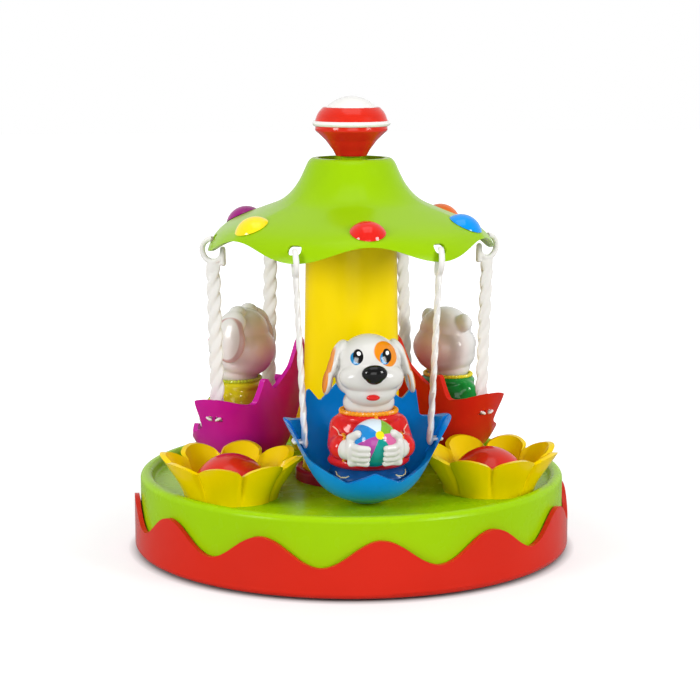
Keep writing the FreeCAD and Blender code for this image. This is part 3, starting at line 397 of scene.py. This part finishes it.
def ribbed_ring(z, wide, deep, thick, ribs):
    """Knitted band: an oval ring of small ribs, its sides wide and deep from the middle, thick in section."""
    alone()
    bpy.ops.mesh.primitive_torus_add(location=Vector(front(0, 0, z)) * MM, major_segments=ribs * 4,
                                     minor_segments=10, major_radius=1 * MM, minor_radius=0.1 * MM)
    ring = bpy.context.object
    for vertex in ring.data.vertices:
        angle = math.atan2(vertex.co.y, vertex.co.x)
        core = Vector((math.cos(angle), math.sin(angle), 0)) * MM
        swell = thick * (1 + 0.16 * math.cos(ribs * angle))
        vertex.co = Vector((core.x * wide, core.y * deep, 0)) + (vertex.co - core) * 10 * swell
    return ring


def dress(turn, body, cloth, name, node, trim, legs, seam_paint, collar=1.1, reach=0.0, low=0.0):
    """Jumper, ribbed collar, zigzag cuffs and trousers that all riders wear, and their paws.

    collar is the thickness of the band; reach and low draw the arms back and down for a rider who
    holds nothing."""
    top = jumper(reach, low)
    band = joined([ribbed_ring(82.4, 13.3, 11.7, collar, COLLAR_RIBS)])
    keep(band, name + "_collar", trim, body, turn)
    tab = piping([front(2.0, 13.4, 83), front(2.4, 15.4, 80), front(2.8, 17, 76)], 0.9, top)
    keep(tab, name + "_zip", trim, body, turn)
    for side, word in ((-1, "left"), (1, "right")):
        hand = paw(side)
        hand.location = hand.location + Vector((0, reach, -low)) * MM
        keep(hand, "%s_paw_%s" % (name, word), PAINTS["white"], body, turn)
        zigzag = []
        for i in range(CUFF_POINTS):
            angle = 2 * math.pi * i / CUFF_POINTS
            zigzag.append(front(side * (13.8 + (0.8 if i % 2 else -0.8)),
                                12.8 - reach + CUFF_RADIUS * math.sin(angle),
                                67.0 - low + CUFF_RADIUS * math.cos(angle)))
        keep(piping(zigzag, 0.6, None, True), "%s_cuff_%s" % (name, word), trim, body, turn)
        seam = piping([front(side * 19.5, 6, 77), front(side * 16, 13, 76.4), front(side * 12.8, 16, 74.6),
                       front(side * 11.8, 18, 70)], 0.3, top)
        keep(seam, "%s_seam_%s" % (name, word), seam_paint, body, turn)
    lap = trousers()
    for side, word in ((-1, "left"), (1, "right")):
        pocket = piping([front(side * 20, 8, 58.4), front(side * 19, 13, 54.8), front(side * 15.4, 17, 53.8),
                         front(side * 12, 18, 56.6)], 0.28, lap)
        keep(pocket, "%s_pocket_%s" % (name, word), PAINTS["stitch"], body, turn)
    keep(lap, name + "_trousers", legs, body, turn)
    keep(top, name + "_jumper", cloth, body, turn, (node,))


# ---------------------------------------------------------------- the puppy in the blue seat
def printed_eye(tree, colour, turn, x, z, out=13.0):
    """Eye printed over a colour, 6.6 mm high: blue crescent of iris, black pupil, one white glint."""
    iris = spot(tree, seat_place(tree, turn, front(x - 1.1, out, z - 1.1)), (2.6, 7, 3.0))
    pupil = spot(tree, seat_place(tree, turn, front(x, out, z)), (2.35, 7, 3.3))
    glint = spot(tree, seat_place(tree, turn, front(x + 0.3, out, z + 1.2)), (0.9, 7, 0.9))
    colour = paint(tree, colour, linear("1583BE"), iris)
    colour = paint(tree, colour, linear("0B0B0E"), pupil)
    return paint(tree, colour, linear("FFFFFF"), glint)


EAR_FLARE = 0.2                      # the limit between cheek and ear leans out by this towards the top
VINYL = (0.13, 0.35)                 # roughness and gloss of the riders' white vinyl
ENAMEL = (0.12, 0.35)                # and of the paint on it
SATIN = (0.2, 0.35)                  # and of the paint on knitwear and trimmings


def ear_zone(tree, turn):
    """1 on the ears, which hang outside the cheeks."""
    place = add(tree, "ShaderNodeSeparateXYZ", {"Vector": seat_place(tree, turn)})
    across = add(tree, "ShaderNodeMath", {"operation": "ABSOLUTE", 0: place.outputs["X"]})
    flared = add(tree, "ShaderNodeMath", {"operation": "MULTIPLY_ADD", 0: place.outputs["Z"],
                                          1: EAR_FLARE, 2: across.outputs["Value"]})
    return add(tree, "ShaderNodeMapRange", {"Value": flared.outputs["Value"], "From Min": 37.8 * MM,
                                            "From Max": 38.2 * MM}).outputs["Result"]


def puppy():
    """White puppy in a red jumper that holds a beach ball."""
    turn, body = SEATS["blue"], "swing_blue"
    ears = [[(front(side * 14.6, -1, 112), (2.4, 6.2, 6.0), (0, -side * 34, 0)),
             (front(side * 17.6, 0, 104.6), (2.1, 7.6, 9.0), (0, -side * 17, 0)),
             (front(side * 20.0, 0.5, 97.2), (2.2, 8.6, 6.8), (0, -side * 12, 0))] for side in (-1, 1)]
    face = head([(front(0, 0.5, 105.2), (15.4, 15.6, 14.6)),
                 (front(0, 10.2, 100.4), (15.6, 10.2, 8.0)),
                 (front(0, 7.6, 93.6), (12.6, 9.6, 8.0)),
                 (front(-9.5, 3, 99), (7.0, 9.0, 8.0)),
                 (front(9.5, 3, 99), (7.0, 9.0, 8.0)),
                 (front(0, 12.5, 101.8), (6.5, 7.5, 6.0))], ears)
    # white vinyl with an orange patch 12 mm across round one eye
    vinyl = moulded("white_vinyl_puppy", "DCDAD5", *VINYL)
    tree = vinyl.node_tree
    patch = spot(tree, seat_place(tree, turn, front(6.8, 12, 112.6)), (6.2, 9, 5.6), 0.04)
    patch_low = spot(tree, seat_place(tree, turn, front(8.0, 12, 110.6)), (4.8, 9, 4.8), 0.04)
    # the outer side of each ear is the colour of the patch
    normal = add(tree, "ShaderNodeTexCoord", {}).outputs["Normal"]
    facing = add(tree, "ShaderNodeSeparateXYZ", {"Vector": normal})
    outward = add(tree, "ShaderNodeMath", {"operation": "ABSOLUTE", 0: facing.outputs["X"]})
    outward = add(tree, "ShaderNodeMapRange", {"Value": outward.outputs["Value"], "From Min": 0.78,
                                               "From Max": 0.86})
    ear_side = add(tree, "ShaderNodeMath", {"operation": "MULTIPLY", 0: outward.outputs["Result"],
                                            1: ear_zone(tree, turn)})
    orange = add(tree, "ShaderNodeMath", {"operation": "MAXIMUM", 0: patch, 1: patch_low})
    orange = add(tree, "ShaderNodeMath", {"operation": "MAXIMUM", 0: orange.outputs["Value"],
                                          1: ear_side.outputs["Value"]})
    colour = paint(tree, linear("DCDAD5"), linear("E98A10"), orange.outputs["Value"])
    for x in (-6.8, 7.0):
        colour = printed_eye(tree, colour, turn, x, 111.0)
    recolour(vinyl, colour)
    keep(face, "puppy_head", vinyl, body, turn, ("dog_head",))
    nose = skin([globe(front(0, 20.4, 103.7), (6.2, 3.8, 4.2)),
                 globe(front(0, 20.0, 102.0), (4.6, 3.6, 3.6))], 0.4, 6)
    keep(nose, "puppy_nose", PAINTS["black"], body, turn, ("dog_nose",))
    tongue = skin([globe(front(-0.4, 18.2, 91.8), (3.3, 1.8, 1.5))], 0.3, 3)
    keep(tongue, "puppy_tongue", PAINTS["red"], body, turn)
    dress(turn, body, PAINTS["red"], "puppy", "dog_body", PAINTS["orange"], PAINTS["jeans"],
          PAINTS["seam"])
    ball = globe(BALL_AT, (BALL_RADIUS,) * 3)
    bpy.ops.object.shade_smooth()
    keep(ball, "puppy_ball", beach_ball(turn), body, turn, ("dog_ball",))


def beach_ball(turn):
    """Ball 23 mm across with six painted gores that meet at a yellow spot of 4 mm."""
    material = moulded("painted_gores", "2F8FD0", 0.1, 0.35)
    tree = material.node_tree
    place = seat_place(tree, turn, BALL_AT)
    # the gores meet 30 degrees above the level, at the front
    lean = (math.radians(-60), math.radians(-8), 0)
    axis = add(tree, "ShaderNodeMapping", {"Vector": place, "Rotation": lean}).outputs["Vector"]
    sweep = add(tree, "ShaderNodeTexGradient", {"Vector": axis, "gradient_type": "RADIAL"})
    gores = add(tree, "ShaderNodeValToRGB", {"Fac": sweep.outputs["Fac"]})
    gores.color_ramp.interpolation = "CONSTANT"
    stops = [(0.0, "1F86CC"), (0.042, "B04A9E"), (0.19, "0F958A"), (0.375, "D8699F"), (0.542, "7DB52A"),
             (0.708, "D5E4EE"), (0.875, "1F86CC")]
    for i, (at, shade) in enumerate(stops):
        stop = gores.color_ramp.elements[i] if i < 2 else gores.color_ramp.elements.new(at)
        stop.position = at
        stop.color = linear(shade)
    top = add(tree, "ShaderNodeMapping", {"Vector": axis, "Location": (0, 0, -BALL_RADIUS * MM)})
    pole = spot(tree, top.outputs["Vector"], (2.1, 2.1, 2.1))
    return recolour(material, paint(tree, gores.outputs["Color"], linear("F6DE1E"), pole))


# Paint on the figures: glossy on skin, cloth and noses, and a little duller on ribs, seams and stitches,
# which are 0.6 to 2 mm thick and would sparkle otherwise.
PAINTS = {
    "white": moulded("white_vinyl", "DCDAD5", *VINYL),
    "red": moulded("red_enamel", "D81F1C", *ENAMEL),
    "green": moulded("green_enamel", "17903A", *ENAMEL),
    "olive": moulded("olive_enamel", "D8CB1E", *ENAMEL),
    "black": moulded("black_enamel", "121212", 0.07, 0.35),
    "orange": moulded("orange_enamel", "F09A1C", *SATIN),
    "yellow": moulded("yellow_enamel", "F2DE2A", *SATIN),
    "lime": moulded("lime_enamel", "B9C62A", *SATIN),
    "jeans": moulded("denim_blue_enamel", "0C4E8E", *SATIN),
    "seam": moulded("pale_seam_enamel", "F3B9A8", *SATIN),
    "stitch": moulded("pale_stitch_enamel", "E6DE9A", *SATIN),
    "rose": moulded("rose_enamel", "E58E9A", *VINYL),
}


# ---------------------------------------------------------------- the other riders and the ropes
def vinyl_with_painted_shade(name, turn):
    """White vinyl with painted shade: it turns a greyish pink at the back and low on the head, a painted
    reflection of the seat's colour; returns it and its colour to paint on.
    """
    vinyl = moulded(name, "E9E6E3", *ENAMEL)
    tree = vinyl.node_tree
    # painted shade and painted reflection of the seat: greyish pink at the back of the head and low on it
    back = spot(tree, seat_place(tree, turn, front(0, -17, 96)), (21, 14, 19), 0.6)
    return vinyl, paint(tree, linear("E9E6E3"), linear("DDB3AE"), back)


def bunny():
    """White rabbit with broad hanging ears, in the purple seat."""
    turn, body = SEATS["purple"], "swing_purple"
    ears = [[(front(side * 7.4, -3.5, 118.4), (4.6, 4.6, 3.0), (0, side * 26, 0)),
             (front(side * 13.9, -3.8, 112.8), (2.8, 8.0, 7.6), (0, -side * 30, 0)),
             (front(side * 17.2, -4.2, 104.4), (2.5, 8.8, 11.4), (0, -side * 8, 0))] for side in (-1, 1)]
    face = head([(front(0, -3.4, 107.4), (13.4, 13.6, 12.6)),
                 (front(0, 6.8, 98.6), (11.0, 8.6, 8.4)),
                 (front(0, -2.6, 93.4), (15.6, 15.8, 10.4)),
                 (front(0, -4.4, 98.2), (16.4, 16.4, 14.0))], ears)
    vinyl, colour = vinyl_with_painted_shade("white_vinyl_rabbit", turn)
    tree = vinyl.node_tree
    # a pink rim of 1.5 mm round each ear
    inner = spot(tree, seat_place(tree, turn, front(0, -3.4, 105.6)), (60, 7.3, 11.0), 0.04)
    rim = add(tree, "ShaderNodeMath", {"operation": "SUBTRACT", 0: ear_zone(tree, turn), 1: inner})
    rim.use_clamp = True
    colour = paint(tree, colour, linear("C79C98"), rim.outputs["Value"])
    for x in (-6.4, 6.4):
        colour = printed_eye(tree, colour, turn, x, 108.0, 9.5)
    recolour(vinyl, colour)
    keep(face, "rabbit_head", vinyl, body, turn, ("bunny_head",))
    nose = skin([globe(front(0, 14.8, 101.8), (3.0, 2.0, 2.0))], 0.4, 3)
    keep(nose, "rabbit_nose", PAINTS["rose"], body, turn)
    dress(turn, body, PAINTS["olive"], "rabbit", "bunny_body", PAINTS["lime"], PAINTS["jeans"],
          PAINTS["green"], 0.9, 11.0, 9.0)


def bear():
    """Pale bear cub with small round ears, in the red seat."""
    turn, body = SEATS["red"], "swing_red"
    ears = [[(front(side * 14.2, -1.4, 111.4), (4.8, 3.4, 5.0)),
             (front(side * 14.8, -0.8, 111.2), (3.6, 4.0, 3.8))] for side in (-1, 1)]
    face = head([(front(0, -2.0, 106.2), (13.8, 13.6, 12.4)),
                 (front(0, 8.4, 98.4), (9.6, 8.0, 7.6)),
                 (front(0, -1.6, 93.0), (15.6, 15.8, 10.2)),
                 (front(0, -2.6, 97.4), (16.6, 16.8, 13.6))], ears)
    vinyl, colour = vinyl_with_painted_shade("white_vinyl_cub", turn)
    tree = vinyl.node_tree
    for x in (-6.4, 6.4):
        colour = printed_eye(tree, colour, turn, x, 107.4, 10.5)
    recolour(vinyl, colour)
    keep(face, "cub_head", vinyl, body, turn, ("bear_head",))
    nose = skin([globe(front(0, 14.6, 101.2), (3.4, 2.2, 2.4))], 0.4, 3)
    keep(nose, "cub_nose", PAINTS["black"], body, turn)
    dress(turn, body, PAINTS["green"], "cub", "bear_body", PAINTS["yellow"], PAINTS["jeans"],
          PAINTS["seam"], 0.9, 11.0, 9.0)


HOOK_OUT = 61.5                      # middle of the hook's ring, from the spin axis
HOOK_HIGH = 153.9
HOOK_RADIUS = 5.8
HOOK_WIRE = 1.5                      # radius of the hook's round section
ROPE_TOP_OUT = 35.0                  # half the distance between a seat's ropes at the roof
ROPE_FOOT_OUT = 30.7                 # and at the seat
ROPE_FOOT_HIGH = 65.5
ROPE_LAY = 27.6                      # height of one turn of a strand
STRAND_RADIUS = 2.35
STRAND_OUT = 1.95                    # a strand's middle from the rope's
ROPE_FLAT = 0.37                     # how flat the moulded rope is, thickness over width
PRONG_HIGH = 67.0
PRONG_APART = 2.6                    # each way from the rope's middle
PRONG_RADIUS = 0.75


def tidy_faces(close):
    """Faces all out, and open ends closed where asked."""
    bpy.ops.mesh.select_all(action="SELECT")
    if close:
        bpy.ops.mesh.fill_holes(sides=0)
    bpy.ops.mesh.normals_make_consistent(inside=False)
    bpy.ops.object.mode_set(mode="OBJECT")


def strand(phase, run):
    """One round strand that winds up the rope's length."""
    alone()
    bpy.ops.mesh.primitive_circle_add(vertices=14, radius=STRAND_RADIUS * MM, location=(
        STRAND_OUT * MM * math.cos(phase), STRAND_OUT * MM * math.sin(phase), -(HOOK_RADIUS + run) * MM))
    bpy.ops.object.transform_apply(location=True, rotation=False, scale=False)
    wound = bpy.context.object
    lay = wound.modifiers.new("lay", "SCREW")
    lay.angle = 2 * math.pi * run / ROPE_LAY
    lay.screw_offset = run * MM
    lay.steps = lay.render_steps = 100
    apply_all(wound)
    bpy.ops.object.mode_set(mode="EDIT")
    tidy_faces(True)
    wound.scale = (ROPE_FLAT, 1, 1)
    return wound


def rope(colour, side, word):
    """Stiff flat rope of three moulded strands, its hook at the top and two prongs at the foot."""
    run = HOOK_HIGH - HOOK_RADIUS - ROPE_FOOT_HIGH
    parts = [strand(2 * math.pi * i / 3, run) for i in range(3)]
    parts.append(globe((0, 0, -HOOK_RADIUS - 3.2), (1.6, 3.9, 4.6)))
    parts.append(globe((0, 0, ROPE_FOOT_HIGH - HOOK_HIGH + 1.0), (1.6, 3.9, 3.0)))
    alone()
    bpy.ops.mesh.primitive_circle_add(vertices=16, radius=HOOK_WIRE * MM, fill_type="NGON",
                                      location=(0, HOOK_RADIUS * MM, 0))
    bpy.ops.object.transform_apply(location=True, rotation=False, scale=False)
    bpy.ops.object.mode_set(mode="EDIT")
    bpy.ops.mesh.select_all(action="SELECT")
    bpy.ops.mesh.spin(steps=40, angle=math.radians(272), center=(0, 0, 0), axis=(1, 0, 0))
    tidy_faces(False)
    parts.append(bpy.context.object)
    parts += limb((0, HOOK_RADIUS, 0.6), (0, HOOK_RADIUS, -6.6), HOOK_WIRE, HOOK_WIRE)
    whole = joined(parts)
    lean = math.atan2(ROPE_TOP_OUT - ROPE_FOOT_OUT, HOOK_HIGH - ROPE_FOOT_HIGH)
    whole.rotation_euler = (0, side * lean, 0)
    whole.location = (side * ROPE_TOP_OUT * MM, -HOOK_OUT * MM, HOOK_HIGH * MM)
    prongs = []
    for back in (-1, 1):
        level = -HOOK_OUT + back * PRONG_APART
        prongs += limb((side * ROPE_FOOT_OUT, level, PRONG_HIGH),
                       (side * (ROPE_FOOT_OUT + 4.6), level, PRONG_HIGH), PRONG_RADIUS, PRONG_RADIUS)
        prongs.append(globe((side * (ROPE_FOOT_OUT + 5), level, PRONG_HIGH), (1.3, 2.1, 0.8),
                            (back * 24, 0, 0)))
    whole = skin([whole] + prongs, 0.42, 3)
    keep(whole, "rope_%s_%s_twist" % (colour, word), FINISHES["rope_white"], "swing_" + colour,
         SEATS[colour], ("rope_%s_%s" % (colour, word),))


puppy()
bunny()
bear()
for colour in SEATS:
    rope(colour, -1, "left")
    rope(colour, 1, "right")

# ---------------------------------------------------------------- floor and surroundings
bpy.ops.object.select_all(action="DESELECT")
bpy.ops.mesh.primitive_plane_add(size=8, location=(0, 0, 0))
floor = bpy.context.object
floor.name = "floor"
paper, tree, shader = new_material("white_seamless_paper")
where = add(tree, "ShaderNodeTexCoord", {}).outputs["Object"]
grain = add(tree, "ShaderNodeTexNoise", {"Vector": where, "Scale": 60.0, "Detail": 2.0})
tint = add(tree, "ShaderNodeMapRange", {"Value": grain.outputs["Fac"], "To Min": 0.4, "To Max": 0.44})
tree.links.new(tint.outputs["Result"], shader.inputs["Base Color"])
shader.inputs["Roughness"].default_value = 0.7
shader.inputs["Specular IOR Level"].default_value = 0.2
# the paper runs out to pure white 0.4 m from the toy, keeps its shadow near it, and is dark under the tub
ray = add(tree, "ShaderNodeLightPath", {})
away = add(tree, "ShaderNodeVectorMath", {"operation": "LENGTH", 0: where})
fade = add(tree, "ShaderNodeMapRange", {"Value": away.outputs["Value"], "From Min": 0.13, "From Max": 0.4,
                                        "To Min": 0.6, "To Max": 1.0})
under = add(tree, "ShaderNodeMapRange", {"Value": away.outputs["Value"], "From Min": 0.109,
                                         "From Max": 0.116})
lift = add(tree, "ShaderNodeMath", {"operation": "MULTIPLY", 0: under.outputs["Result"],
                                    1: fade.outputs["Result"]})
glow = add(tree, "ShaderNodeMath", {"operation": "MULTIPLY", 0: ray.outputs["Is Camera Ray"],
                                    1: lift.outputs["Value"]})
shader.inputs["Emission Color"].default_value = (1, 1, 1, 1)
tree.links.new(glow.outputs["Value"], shader.inputs["Emission Strength"])
floor.data.materials.append(paper)

# a white wall behind the toy and a dark room in front of it, so that the gloss shows only the softboxes
world = bpy.data.worlds.new("studio")
bpy.context.scene.world = world
world.use_nodes = True
tree = world.node_tree
ray = add(tree, "ShaderNodeLightPath", {})
direction = add(tree, "ShaderNodeTexCoord", {}).outputs["Generated"]
toward = add(tree, "ShaderNodeSeparateXYZ", {"Vector": direction})
room = add(tree, "ShaderNodeMapRange", {"Value": toward.outputs["Y"], "From Min": -0.4, "From Max": 0.6,
                                        "To Min": 0.22, "To Max": 0.85})
level = add(tree, "ShaderNodeMath", {"operation": "MAXIMUM", 0: ray.outputs["Is Camera Ray"],
                                     1: room.outputs["Result"]})
tree.links.new(level.outputs["Value"], tree.nodes["Background"].inputs["Strength"])
tree.nodes["Background"].inputs["Color"].default_value = (1, 1, 1, 1)
